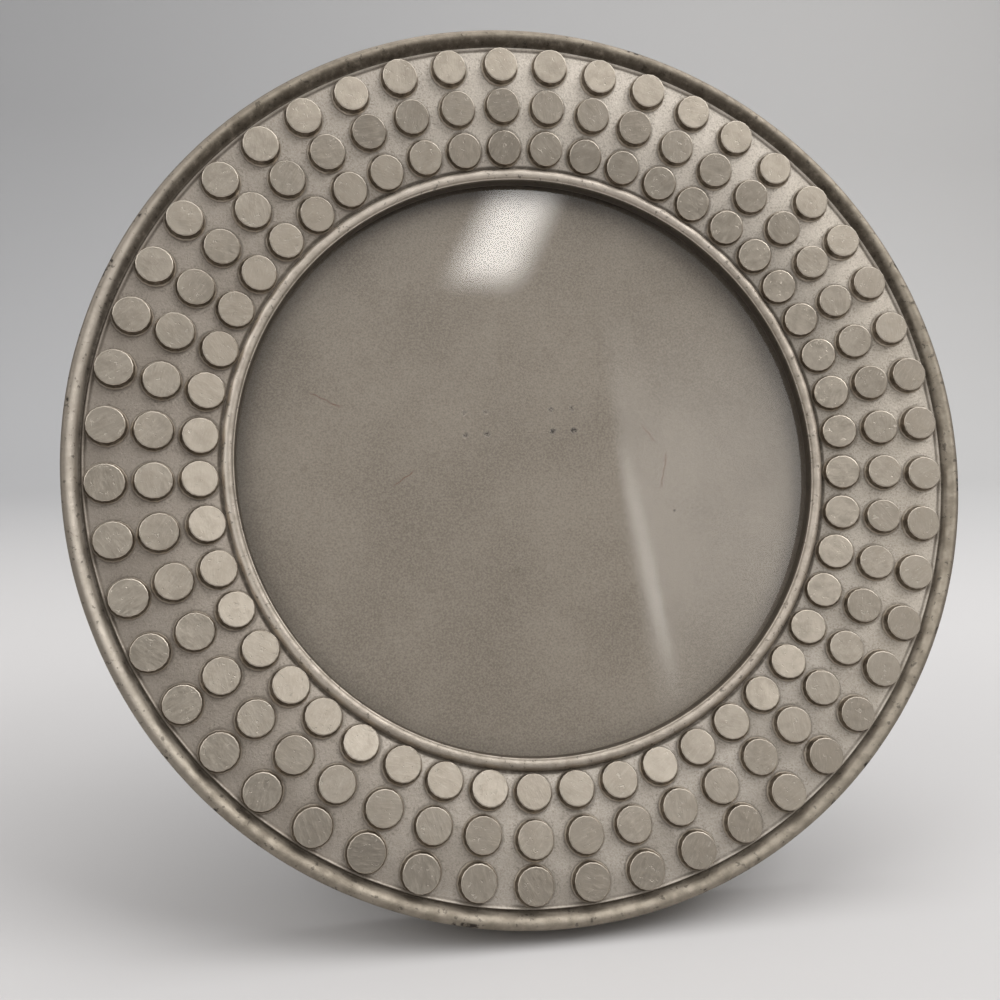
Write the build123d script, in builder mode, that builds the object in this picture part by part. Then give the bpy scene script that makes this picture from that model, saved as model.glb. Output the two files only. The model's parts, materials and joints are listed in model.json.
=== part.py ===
from build123d import *
import math
import os

os.makedirs("parts", exist_ok=True)

# Round standing photo frame, in millimetres and degrees. +Z is up and the front faces -Y.
# The casting leans back on a hinged easel leg. Its own plane is called the face plane:
# x to the right, y up the slope and z out of the front, with z = 0 at the casting's back.

# Stance
lean_angle = 17.0
leg_opening = 30.0

# Casting, seen from the front
frame_diameter = 200.0
ring_width = 33.7
back_inset = 1.4
rim_width = 4.2
rim_side_height = 14.2
rim_edge = 0.5
rim_bead_width = 2.5
rim_height = 2.2
inner_bead_width = 3.1
inner_bead_flank = 0.8
inner_bead_crest = 1.2
inner_bead_rise = 1.15
inner_bead_drop = 0.6
lip_width = 3.6
lip_thickness = 2.35

# Dished band between the two beads
band_rise = 6.24
band_crown_radius = 111.0
band_wall = 3.0

# Flat-topped studs, in three rings on the band's spokes
stud_rows = 3
sectors = 4
outer_row_inset = 8.5
row_pitch = 8.95
stud_spacing = 9.6
stud_diameter = 8.4
stud_height = 2.0
stud_draft = 6.0
stud_sides = 10
stud_root = 0.6

# Hollow back of the casting and the bosses that carry the turn buttons
rebate_wall = 3.6
rim_wall = 3.2
channel_draft = 1.6
boss_inset = 6.3
boss_radius = 4.0
boss_root = 0.3

# Glass and boards in the rebate, from front to back
glass_thickness = 2.0
lining_thickness = 0.3
board_thickness = 2.5
cover_thickness = 0.8
board_recess = 0.2
pane_clearance = 0.4

# Turn buttons and their screws
button_thickness = 1.0
button_radius = 4.0
button_reach = 13.0
button_tip_width = 6.0
button_corner = 1.2
screw_radius = 1.1
screw_depth = 6.5
screw_spare_depth = 0.6
screw_head_radius = 2.8
screw_head_height = 1.4

# Easel hinge: a plate on the board, a leaf on the leg and a pin through their knuckles
hinge_height = 2.5
hinge_width = 30.0
knuckle_width = 11.6
knuckle_radius = 1.8
pin_radius = 1.0
sheet_thickness = 0.8
plate_length = 12.0
leaf_length = 20.0
sheet_corner = 2.5
notch_height = 2.4
tongue_height = 6.4
tongue_width = 8.0

# Staples through the plate and the board
staple_crown = 4.7
staple_inset = 5.2
staple_height = 4.6
staple_pitch = 4.6
wire_width = 1.0
wire_thickness = 0.6

# Easel leg and the staples that hold the leaf on it
leg_thickness = 2.8
leg_cover_thickness = 0.5
leg_flare = 8.0
leg_top_gap = 3.4
leg_corner = 5.0
leg_staple_inset = 6.5
leg_staple_drop = 13.5
leg_staple_spare = 0.3

# Clearances
running_gap = 0.3
button_gap = 0.15
pin_running = 0.06
button_running = 0.08
fixed_fit = 0.03
overrun = 8.0

# Radii of the casting, from the outside in
frame_radius = frame_diameter / 2
back_radius = frame_radius - back_inset
band_outer_radius = frame_radius - rim_width
bead_outer_radius = frame_radius - rim_edge
bead_inner_radius = bead_outer_radius - rim_bead_width
sight_radius = frame_radius - ring_width
band_inner_radius = sight_radius + inner_bead_width
inner_bead_outer_radius = band_inner_radius - inner_bead_flank
inner_bead_inner_radius = inner_bead_outer_radius - inner_bead_crest
rebate_radius = sight_radius + lip_width
pane_radius = rebate_radius - pane_clearance

# Heights in the face plane, above the casting's back
cover_back = board_recess
board_back = cover_back + cover_thickness
lining_back = board_back + board_thickness
glass_back = lining_back + lining_thickness
rebate_depth = glass_back + glass_thickness
band_inner_height = rebate_depth + lip_thickness
band_outer_height = band_inner_height + band_rise
rim_crest_height = band_outer_height + rim_height
inner_crest_height = band_inner_height + inner_bead_rise
inner_foot_height = inner_crest_height - inner_bead_drop
plate_back = cover_back - sheet_thickness
pin_level = cover_back - running_gap - knuckle_radius

# The staples are set in from the hinge's ends, and the leg is as wide as the hinge at its top.
staple_spread = hinge_width - 2 * staple_inset
leg_staple_spread = hinge_width - 2 * leg_staple_inset
leg_top_width = hinge_width
leg_foot_width = leg_top_width + leg_flare

# The band's section is one arc through both of its edges, with its centre below it.
band_width = band_outer_radius - band_inner_radius
band_chord = math.hypot(band_width, band_rise)
band_tilt = math.atan2(band_rise, band_width)
centre_drop = math.sqrt(band_crown_radius**2 - (band_chord / 2) ** 2)
arc_radius_at = (band_outer_radius + band_inner_radius) / 2 + centre_drop * math.sin(band_tilt)
arc_height_at = (band_outer_height + band_inner_height) / 2 - centre_drop * math.cos(band_tilt)


# Slope of the band at a radius, in radians, and its height above the casting's back
def band_slope(radius):
    return math.asin((arc_radius_at - radius) / band_crown_radius)


def band_height(radius):
    return arc_height_at + band_crown_radius * math.cos(band_slope(radius))


# The hollow behind the band follows it at the thickness of a casting wall.
channel_inner = rebate_radius + rebate_wall
channel_outer = back_radius - rim_wall
floor_inner = channel_inner + channel_draft
floor_outer = channel_outer - channel_draft
floor_inner_height = band_height(floor_inner) - band_wall
floor_outer_height = band_height(floor_outer) - band_wall
boss_circle = rebate_radius + boss_inset
boss_outer_share = (boss_circle + boss_radius - floor_inner) / (floor_outer - floor_inner)
boss_floor = floor_inner_height + (floor_outer_height - floor_inner_height) * boss_outer_share

# The frame stands on the lower edge of its back and on the leg's foot. The origin is on
# the table under the middle of the whole object, so the face plane is placed by what
# reaches furthest in front, the rim's bead, and behind, the foot.
lean = math.radians(lean_angle)
leg_lean = math.radians(leg_opening - lean_angle)
front_reach = bead_outer_radius * math.sin(lean) + rim_crest_height * math.cos(lean)
face_height = back_radius * math.cos(lean)
pin_up = face_height + hinge_height * math.cos(lean) + pin_level * math.sin(lean)
pin_behind = hinge_height * math.sin(lean) - pin_level * math.cos(lean)
leg_back_offset = knuckle_radius + leg_thickness + 2 * leg_cover_thickness
foot_run = (pin_up + leg_back_offset * math.sin(leg_lean)) / math.cos(leg_lean)
foot_behind = pin_behind + leg_back_offset * math.cos(leg_lean) + foot_run * math.sin(leg_lean)
back_reach = max(foot_behind, back_radius * math.sin(lean))
face_setback = (front_reach - back_reach) / 2

face = Plane(
    origin=(0, face_setback, face_height),
    x_dir=(1, 0, 0),
    z_dir=(0, -math.cos(lean), math.sin(lean)),
)
pin_centre = face.from_local_coords(Vector(0, hinge_height, pin_level))
# Section planes across the pin: x runs up the slope or up the leg, y towards the front
board_section = Plane(origin=pin_centre, x_dir=face.y_dir, z_dir=face.x_dir)
leg = Plane(
    origin=pin_centre,
    x_dir=(1, 0, 0),
    z_dir=(0, -math.cos(leg_lean), -math.sin(leg_lean)),
)
leg_section = Plane(origin=pin_centre, x_dir=leg.y_dir, z_dir=leg.x_dir)


# Casting: one quarter of it is made flat, front up, and the four are joined into a ring.
# A stud's wall is drawn as flats, within 0.2 mm of round. The inner ring has as many studs
# as fit in at their least spacing, and the other rings follow its spokes.
def stud_seat(radius, angle):
    slope = band_slope(radius)
    across, along = math.cos(angle), math.sin(angle)
    return Plane(
        origin=(radius * across, radius * along, band_height(radius)),
        x_dir=(-along, across, 0),
        z_dir=(-math.sin(slope) * across, -math.sin(slope) * along, math.cos(slope)),
    )


row_radii = [frame_radius - outer_row_inset - row * row_pitch for row in range(stud_rows)]
sector_spokes = int(2 * math.pi * min(row_radii) / (sectors * stud_spacing))
spoke_pitch = 2 * math.pi / (sectors * sector_spokes)
spoke_angles = [spoke_pitch * (spoke + 1 / 2) for spoke in range(sector_spokes)]
stud_seats = [stud_seat(radius, angle) for radius in row_radii for angle in spoke_angles]

with BuildPart() as stud:
    with BuildSketch(Plane.XY.offset(-stud_root)):
        RegularPolygon(radius=stud_diameter / 2, side_count=stud_sides)
    extrude(amount=stud_height + stud_root, taper=stud_draft)

with BuildPart() as quarter:
    with BuildSketch(Plane.XZ):
        with BuildLine():
            Polyline(
                (rebate_radius, rebate_depth),
                (rebate_radius, 0),
                (channel_inner, 0),
                (floor_inner, floor_inner_height),
                (floor_outer, floor_outer_height),
                (channel_outer, 0),
                (back_radius, 0),
                (frame_radius, rim_side_height),
                (bead_outer_radius, rim_crest_height),
                (bead_inner_radius, rim_crest_height),
                (band_outer_radius, band_outer_height),
            )
            RadiusArc(
                (band_outer_radius, band_outer_height),
                (band_inner_radius, band_inner_height),
                -band_crown_radius,
            )
            Polyline(
                (band_inner_radius, band_inner_height),
                (inner_bead_outer_radius, inner_crest_height),
                (inner_bead_inner_radius, inner_crest_height),
                (sight_radius, inner_foot_height),
                (sight_radius, rebate_depth),
                (rebate_radius, rebate_depth),
            )
        make_face()
    revolve(axis=Axis.Z, revolution_arc=360 / sectors)
    with BuildSketch(Plane.XY):
        with PolarLocations(boss_circle, 1, start_angle=180 / sectors):
            Circle(boss_radius)
    extrude(amount=boss_floor + boss_root)
    with BuildSketch(Plane.XY):
        with PolarLocations(boss_circle, 1, start_angle=180 / sectors):
            Circle(screw_radius + fixed_fit)
    extrude(amount=screw_depth + screw_spare_depth, mode=Mode.SUBTRACT)
    with Locations(*[seat.location for seat in stud_seats]):
        add(stud.part)

with BuildPart() as bezel:
    with Locations(face.location):
        with PolarLocations(0, sectors):
            add(quarter.part)
bezel.part.label = "bezel"
export_step(bezel.part, "parts/bezel.step")

# Glass, lining paper, backing board and its flocked cover, stacked in the rebate
with BuildPart() as glass_pane:
    with BuildSketch(face.offset(glass_back)):
        Circle(pane_radius)
    extrude(amount=glass_thickness)
glass_pane.part.label = "glass_pane"
export_step(glass_pane.part, "parts/glass_pane.step")

with BuildPart() as front_lining:
    with BuildSketch(face.offset(lining_back)):
        Circle(pane_radius)
    extrude(amount=lining_thickness)
front_lining.part.label = "front_lining"
export_step(front_lining.part, "parts/front_lining.step")

staple_level = hinge_height + staple_height + staple_pitch / 2


# Slots that the staples' legs go through, drawn in the sketch that is open
def staple_slots():
    with Locations((0, staple_level)):
        with GridLocations(staple_spread, staple_pitch, 2, 2):
            with GridLocations(staple_crown, staple_pitch, 2, 1):
                Rectangle(
                    wire_thickness + 2 * fixed_fit,
                    wire_width + 2 * fixed_fit,
                    mode=Mode.SUBTRACT,
                )


with BuildPart() as backing_board:
    with BuildSketch(face.offset(board_back)):
        Circle(pane_radius)
        staple_slots()
    extrude(amount=board_thickness)
backing_board.part.label = "backing_board"
export_step(backing_board.part, "parts/backing_board.step")

with BuildPart() as board_cover:
    with BuildSketch(face.offset(cover_back)):
        Circle(pane_radius)
        staple_slots()
    extrude(amount=cover_thickness)
board_cover.part.label = "board_cover"
export_step(board_cover.part, "parts/board_cover.step")

# Hinge plate: a sheet with rounded upper corners, notched for the leaf's knuckle
with BuildPart() as hinge_plate:
    with BuildSketch(face.offset(plate_back)) as plate_outline:
        with Locations((0, hinge_height)):
            Rectangle(hinge_width, plate_length, align=(Align.CENTER, Align.MIN))
            fillet(plate_outline.vertices().group_by(Axis.Z)[-1], sheet_corner)
            Rectangle(
                knuckle_width + 2 * running_gap,
                notch_height,
                align=(Align.CENTER, Align.MIN),
                mode=Mode.SUBTRACT,
            )
        staple_slots()
    extrude(amount=sheet_thickness)
    with BuildSketch(board_section.offset(knuckle_width / 2 + running_gap)):
        Circle(knuckle_radius)
    extrude(amount=hinge_width / 2 - knuckle_width / 2 - running_gap)
    with BuildSketch(board_section.offset(-hinge_width / 2)):
        Circle(knuckle_radius)
    extrude(amount=hinge_width / 2 - knuckle_width / 2 - running_gap)
    with BuildSketch(board_section.offset(-hinge_width / 2)):
        Circle(pin_radius + fixed_fit)
    extrude(amount=hinge_width, mode=Mode.SUBTRACT)
hinge_plate.part.label = "hinge_plate"
export_step(hinge_plate.part, "parts/hinge_plate.step")

with BuildPart() as hinge_pin:
    with BuildSketch(board_section.offset(-hinge_width / 2)):
        Circle(pin_radius)
    extrude(amount=hinge_width)
hinge_pin.part.label = "hinge_pin"
export_step(hinge_pin.part, "parts/hinge_pin.step")

# Staples: the crown lies on the plate and both legs end behind the lining paper
staple_places = {
    "upper_left": (-1, 1),
    "upper_right": (1, 1),
    "lower_left": (-1, -1),
    "lower_right": (1, -1),
}
for name, (side, row) in staple_places.items():
    place = (side * staple_spread / 2, staple_level + row * staple_pitch / 2)
    with BuildPart() as staple:
        with BuildSketch(face.offset(plate_back - wire_thickness)):
            with Locations(place):
                Rectangle(staple_crown + wire_thickness, wire_width)
        extrude(amount=wire_thickness)
        with BuildSketch(face.offset(plate_back - wire_thickness)):
            with Locations(place):
                with GridLocations(staple_crown, staple_pitch, 2, 1):
                    Rectangle(wire_thickness, wire_width)
        extrude(amount=lining_back - plate_back + wire_thickness)
    staple.part.label = f"hinge_staple_{name}"
    export_step(staple.part, f"parts/hinge_staple_{name}.step")

# Turn buttons on the bosses, each held by a screw and turned in over the board. One of
# each is made flat at the origin, with its tip towards -X, and then placed on the bosses.
head_seat = button_thickness + 2 * button_gap

with BuildPart() as button_blank:
    with BuildSketch(Plane.XY.offset(-button_gap - button_thickness)):
        Circle(button_radius)
        Polygon(
            (0, -button_radius),
            (0, button_radius),
            (button_corner - button_reach, button_tip_width / 2),
            (-button_reach, button_tip_width / 2 - button_corner),
            (-button_reach, button_corner - button_tip_width / 2),
            (button_corner - button_reach, -button_tip_width / 2),
            align=None,
        )
        Circle(screw_radius + button_running, mode=Mode.SUBTRACT)
    extrude(amount=button_thickness)

with BuildPart() as screw_blank:
    with BuildSketch(Plane.XZ):
        with BuildLine():
            Polyline(
                (0, -head_seat - screw_head_height),
                (0, screw_depth),
                (screw_radius, screw_depth),
                (screw_radius, -head_seat),
                (screw_head_radius, -head_seat),
                (screw_head_radius, -head_seat - screw_head_height),
                (0, -head_seat - screw_head_height),
            )
        make_face()
    revolve(axis=Axis.Z)

corner_angles = {"upper_right": 45, "upper_left": 135, "lower_left": 225, "lower_right": 315}
for name, angle in corner_angles.items():
    with BuildPart() as turn_button:
        with Locations(face.location):
            with PolarLocations(boss_circle, 1, start_angle=angle):
                add(button_blank.part)
    turn_button.part.label = f"turn_button_{name}"
    export_step(turn_button.part, f"parts/turn_button_{name}.step")

    with BuildPart() as button_screw:
        with Locations(face.location):
            with PolarLocations(boss_circle, 1, start_angle=angle):
                add(screw_blank.part)
    button_screw.part.label = f"button_screw_{name}"
    export_step(button_screw.part, f"parts/button_screw_{name}.step")

# Easel leg, drawn on its own plane: the outline widens to a foot that is cut by the table
leg_front = -knuckle_radius
leg_reach = foot_run + overrun


# Leg outline, drawn in the sketch that is open, grown on every side by the cover's thickness
def leg_outline(sketch, growth):
    top = -leg_top_gap - leg_cover_thickness + growth
    top_half = leg_top_width / 2 - leg_cover_thickness + growth
    foot_half = leg_foot_width / 2 - leg_cover_thickness + growth
    Polygon(
        (-foot_half, -leg_reach),
        (foot_half, -leg_reach),
        (top_half, top),
        (-top_half, top),
        align=None,
    )
    fillet(sketch.vertices().group_by(leg_up)[-1], leg_corner + growth)


# Slots for the leg staples' legs, in the sketch that is open
def leg_staple_slots(mode=Mode.ADD):
    with Locations((0, -leg_staple_drop)):
        with GridLocations(leg_staple_spread, leg_staple_drop, 2, 1):
            with GridLocations(staple_crown, leg_staple_drop, 2, 1):
                Rectangle(wire_thickness + 2 * fixed_fit, wire_width + 2 * fixed_fit, mode=mode)


leg_up = Axis(pin_centre, leg.y_dir)

with BuildPart() as leg_board:
    with BuildSketch(leg.offset(leg_front - leg_cover_thickness - leg_thickness)) as core_outline:
        leg_outline(core_outline, 0)
    extrude(amount=leg_thickness)
    with BuildSketch(leg.offset(leg_front - leg_cover_thickness)):
        leg_staple_slots()
    extrude(amount=leg_staple_spare - leg_thickness, mode=Mode.SUBTRACT)
    split(bisect_by=Plane.XY, keep=Keep.TOP)
leg_board.part.label = "leg_board"
export_step(leg_board.part, "parts/leg_board.step")

# The leg's flocked cover wraps it on every side but the foot
with BuildPart() as leg_cover:
    with BuildSketch(leg.offset(leg_front - 2 * leg_cover_thickness - leg_thickness)) as wrap:
        leg_outline(wrap, leg_cover_thickness)
    extrude(amount=leg_thickness + 2 * leg_cover_thickness)
    with BuildSketch(leg.offset(leg_front - leg_cover_thickness - leg_thickness)) as pocket:
        leg_outline(pocket, 0)
    extrude(amount=leg_thickness, mode=Mode.SUBTRACT)
    with BuildSketch(leg.offset(leg_front)):
        leg_staple_slots()
    extrude(amount=-leg_cover_thickness, mode=Mode.SUBTRACT)
    split(bisect_by=Plane.XY, keep=Keep.TOP)
leg_cover.part.label = "leg_cover"
export_step(leg_cover.part, "parts/leg_cover.step")

# Hinge leaf: a sheet on the leg's inner side, necked between the plate's knuckles, with
# one knuckle of its own. Its tongue meets the plate when the leg is fully open.
with BuildPart() as hinge_leaf:
    with BuildSketch(leg.offset(leg_front)) as leaf_outline:
        with Locations((0, -notch_height)):
            Rectangle(
                hinge_width,
                leaf_length - notch_height,
                align=(Align.CENTER, Align.MAX),
            )
        fillet(leaf_outline.vertices().group_by(leg_up)[0], sheet_corner)
        Rectangle(knuckle_width, 2 * notch_height, align=(Align.CENTER, Align.MAX))
        leg_staple_slots(Mode.SUBTRACT)
    extrude(amount=sheet_thickness)
    with BuildSketch(face.offset(plate_back - running_gap - sheet_thickness)):
        with Locations((0, hinge_height)):
            Rectangle(tongue_width, tongue_height, align=(Align.CENTER, Align.MIN))
    extrude(amount=sheet_thickness)
    with BuildSketch(leg_section.offset(-knuckle_width / 2)):
        Circle(knuckle_radius)
    extrude(amount=knuckle_width)
    with BuildSketch(leg_section.offset(-knuckle_width / 2)):
        Circle(pin_radius + pin_running)
    extrude(amount=knuckle_width, mode=Mode.SUBTRACT)
hinge_leaf.part.label = "hinge_leaf"
export_step(hinge_leaf.part, "parts/hinge_leaf.step")

# Two staples through the leaf into the leg, whose legs end inside its board
leaf_front = leg_front + sheet_thickness
leg_staple_depth = sheet_thickness + leg_cover_thickness + leg_thickness - leg_staple_spare
for name, side in {"left": -1, "right": 1}.items():
    place = (side * leg_staple_spread / 2, -leg_staple_drop)
    with BuildPart() as leg_staple:
        with BuildSketch(leg.offset(leaf_front)):
            with Locations(place):
                Rectangle(staple_crown + wire_thickness, wire_width)
        extrude(amount=wire_thickness)
        with BuildSketch(leg.offset(leaf_front)):
            with Locations(place):
                with GridLocations(staple_crown, leg_staple_drop, 2, 1):
                    Rectangle(wire_thickness, wire_width)
        extrude(amount=-leg_staple_depth)
    leg_staple.part.label = f"leg_staple_{name}"
    export_step(leg_staple.part, f"parts/leg_staple_{name}.step")
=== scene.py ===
import json
import math
import random

import bmesh
import bpy
from mathutils import Matrix, Vector, noise


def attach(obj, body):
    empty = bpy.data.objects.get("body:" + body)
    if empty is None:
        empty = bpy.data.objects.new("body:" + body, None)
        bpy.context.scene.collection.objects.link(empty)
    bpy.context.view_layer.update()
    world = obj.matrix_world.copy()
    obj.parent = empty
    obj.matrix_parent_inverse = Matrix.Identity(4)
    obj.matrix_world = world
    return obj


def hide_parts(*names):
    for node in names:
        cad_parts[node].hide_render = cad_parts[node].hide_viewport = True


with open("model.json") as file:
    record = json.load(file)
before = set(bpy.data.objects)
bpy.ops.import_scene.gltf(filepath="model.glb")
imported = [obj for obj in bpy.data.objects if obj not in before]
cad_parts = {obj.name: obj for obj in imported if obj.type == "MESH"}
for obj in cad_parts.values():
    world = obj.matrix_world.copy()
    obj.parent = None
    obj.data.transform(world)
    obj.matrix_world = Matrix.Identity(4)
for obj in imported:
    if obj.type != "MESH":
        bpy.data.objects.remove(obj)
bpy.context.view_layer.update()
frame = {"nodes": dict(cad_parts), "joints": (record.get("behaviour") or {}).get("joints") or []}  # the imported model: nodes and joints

mm = 0.001
quarter = math.pi / 2
nodes = frame["nodes"]
joints = {joint["name"]: joint for joint in frame["joints"]}
corners = ("upper_right", "upper_left", "lower_left", "lower_right")  # in the order of a turn to the left
scene = bpy.context.scene
scene.view_settings.view_transform = "Standard"


def placeOf(origin, normal):  # x to the right, z along the normal
    across = Vector((1, 0, 0))
    return Matrix.Translation(origin) @ Matrix((across, normal.cross(across), normal)).transposed().to_4x4()


def turned(angle, axis="Z"):
    return Matrix.Rotation(angle, 4, axis)


# The casting's own plane: y up the slope, z out of the front, with z = 0 at its back
buttonLevel = -0.65 * mm  # where the buttons' joints are, along that plane's z
faceNormal = Vector(joints["turn_upper_right"]["axis"]).normalized()
buttonCentre = sum((Vector(joints["turn_" + corner]["pos_m"]) for corner in corners), Vector()) / len(corners)
facePlace = placeOf(buttonCentre - faceNormal * buttonLevel, faceNormal)
leanAngle = math.asin(faceNormal.z)
faceTurn = {"Location": tuple(facePlace.translation), "Rotation": (quarter - leanAngle, 0, 0)}


# Shaping, in millimetres, and placing

def revolve(bm, outline, steps, closed=True):
    verts = [bm.verts.new((radius, 0, height)) for radius, height in outline]
    pairs = list(zip(verts, verts[1:])) + ([(verts[-1], verts[0])] if closed else [])
    edges = [bm.edges.new(pair) for pair in pairs]
    bmesh.ops.spin(
        bm, geom=verts + edges, cent=(0, 0, 0), axis=(0, 0, 1), angle=2 * math.pi, steps=steps, use_merge=True
    )
    if not closed:
        bmesh.ops.holes_fill(bm, edges=[edge for edge in bm.edges if edge.is_boundary], sides=0)


def sliced(bm, place, normal):
    bmesh.ops.bisect_plane(bm, geom=bm.verts[:] + bm.edges[:] + bm.faces[:], plane_co=place, plane_no=normal)


def only(parts, kind):
    return [part for part in parts if isinstance(part, kind)]


def shaded(bm, sharp):  # smooth, but for edges sharper than that many degrees
    for face in bm.faces:
        face.smooth = True
    for edge in bm.edges:
        edge.smooth = edge.calc_face_angle(0) < math.radians(sharp)


rounding = {"merge": 0.0005, "flat": 0.5, "sharp": 35}  # mm, then degrees: faces to join and edges to round


def softened(node, width, segments):  # a CAD node's shape with its hard edges rounded
    bm = bmesh.new()
    bm.from_mesh(nodes[node].data)
    bmesh.ops.transform(bm, matrix=Matrix.Scale(1 / mm, 4), verts=bm.verts)
    bmesh.ops.remove_doubles(bm, verts=bm.verts, dist=rounding["merge"])
    bmesh.ops.dissolve_limit(bm, angle_limit=math.radians(rounding["flat"]), verts=bm.verts, edges=bm.edges)
    hardest = math.radians(rounding["sharp"])
    hard = [edge for edge in bm.edges if edge.is_manifold and edge.calc_face_angle() > hardest]
    bmesh.ops.bevel(
        bm, geom=hard, offset=width, segments=segments, profile=0.5, affect="EDGES", material=-1, clamp_overlap=True
    )
    shaded(bm, rounding["sharp"])
    return bm


def placed(name, bm, material):
    mesh = bpy.data.meshes.new(name)
    bm.to_mesh(mesh)
    bm.free()
    mesh.materials.append(material)
    piece = bpy.data.objects.new(name, mesh)
    scene.collection.objects.link(piece)
    return piece


def finishPiece(name, bm, place, body, material, replaced):
    bmesh.ops.transform(bm, matrix=place @ Matrix.Scale(mm, 4), verts=bm.verts)
    bmesh.ops.recalc_face_normals(bm, faces=bm.faces)
    piece = placed(name, bm, material)
    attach(piece, body)
    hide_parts(replaced)


def dress(node, material):
    nodes[node].data.materials.clear()
    nodes[node].data.materials.append(material)


def cornerName(corner):  # UpperRight from upper_right
    return "".join(word.title() for word in corner.split("_"))


# A bench for wiring materials

class Bench:
    def __init__(self, name, **values):
        self.material = bpy.data.materials.new(name)
        self.material.use_nodes = True
        self.tree = self.material.node_tree
        self.skin = self.tree.nodes["Principled BSDF"]
        self.output = self.tree.nodes["Material Output"]
        for socket, value in values.items():
            self.feed(self.skin.inputs[socket.replace("_", " ")], value)

    def feed(self, socket, value):
        if isinstance(value, bpy.types.NodeSocket):
            self.tree.links.new(value, socket)
        else:
            socket.default_value = value

    def add(self, kind, values=None, **settings):
        node = self.tree.nodes.new("ShaderNode" + kind)
        for setting, value in settings.items():
            setattr(node, setting, value)
        for socket, value in (values or {}).items():
            self.feed(node.inputs[socket], value)
        return node

    def sum(self, operation, *values):
        return self.add("Math", dict(enumerate(values)), operation=operation).outputs[0]

    def times(self, first, *others):
        for other in others:
            first = self.sum("MULTIPLY", first, other)
        return first

    def most(self, first, second):
        return self.sum("MAXIMUM", first, second)

    def less(self, first, second):
        return self.sum("SUBTRACT", first, second)

    def vector(self, operation, first, second):
        return self.add("VectorMath", {0: first, 1: second}, operation=operation).outputs[0]

    def parts(self, place):
        return self.add("SeparateXYZ", {0: place}).outputs

    def length(self, x, y):
        flat = self.add("CombineXYZ", {0: x, 1: y}).outputs[0]
        return self.add("VectorMath", {0: flat}, operation="LENGTH").outputs["Value"]

    def fade(self, value, low, high, start=0.0, end=1.0):
        return self.add(
            "MapRange", {0: value, 1: low, 2: high, 3: start, 4: end}, interpolation_type="SMOOTHSTEP"
        ).outputs[0]

    def tint(self, factor, first, second, mode="MIX"):
        return self.add("Mix", {0: factor, 6: first, 7: second}, data_type="RGBA", blend_type=mode).outputs[2]

    def shade(self, factor, tone, strength):  # darkens a tone to that share of itself
        return self.tint(factor, tone, grey(strength), "MULTIPLY")

    def grain(self, place, scale, detail=2.0, roughness=0.5, distortion=0.0):
        return self.add(
            "TexNoise",
            {"Vector": place, "Scale": scale, "Detail": detail, "Roughness": roughness, "Distortion": distortion},
        ).outputs[0]

    def specks(self, place, scale, size, share):  # round specks in a share of a cell pattern's cells
        cells = self.add("TexVoronoi", {"Vector": place, "Scale": scale, "Randomness": 1.0})
        chosen = self.add("TexWhiteNoise", {"Vector": cells.outputs["Position"]}, noise_dimensions="3D").outputs[0]
        return self.times(self.fade(cells.outputs["Distance"], *size), self.sum("GREATER_THAN", chosen, 1 - share))

    def object(self):
        return self.add("TexCoord").outputs["Object"]

    def place(self, **settings):
        return self.add("Mapping", {"Vector": self.object(), **settings}, vector_type="TEXTURE").outputs[0]

    def value(self, attribute):
        return self.add("Attribute", attribute_name=attribute).outputs["Fac"]

    def paint(self, tone):
        self.feed(self.skin.inputs["Base Color"], tone)

    def roughen(self, amount):
        self.feed(self.skin.inputs["Roughness"], amount)

    def bump(self, height, distance, strength=1.0):
        node = self.add("Bump", {"Height": height, "Distance": distance, "Strength": strength})
        self.feed(self.skin.inputs["Normal"], node.outputs[0])


def colour(red, green, blue):  # a colour as a screen shows it, 0 to 255
    return tuple(((share / 255 + 0.055) / 1.055) ** 2.4 for share in (red, green, blue)) + (1.0,)


def grey(value):
    return (value, value, value, 1)


# The camera stands where the photograph was taken from

camera = {
    "place": (-44.88, -210.36, 119.31), "pan": 9.857, "tilt": 8.678, "roll": 0.551,
    "lens": 34.2, "sensor": 36, "nearest": 0.005, "picture": 1000,
}

eye = bpy.data.objects.new("camera", bpy.data.cameras.new("camera"))
eye.data.lens = camera["lens"]
eye.data.sensor_width = camera["sensor"]
eye.data.clip_start = camera["nearest"]
eye.matrix_world = (
    Matrix.Translation(Vector(camera["place"]) * mm)
    @ turned(math.radians(-camera["pan"]))
    @ turned(math.radians(90 - camera["tilt"]), "X")
    @ turned(math.radians(camera["roll"]))
)
scene.collection.objects.link(eye)
scene.camera = eye
print("camera")

# The casting: a ring of beads round a dished band, with three rings of studs

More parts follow.
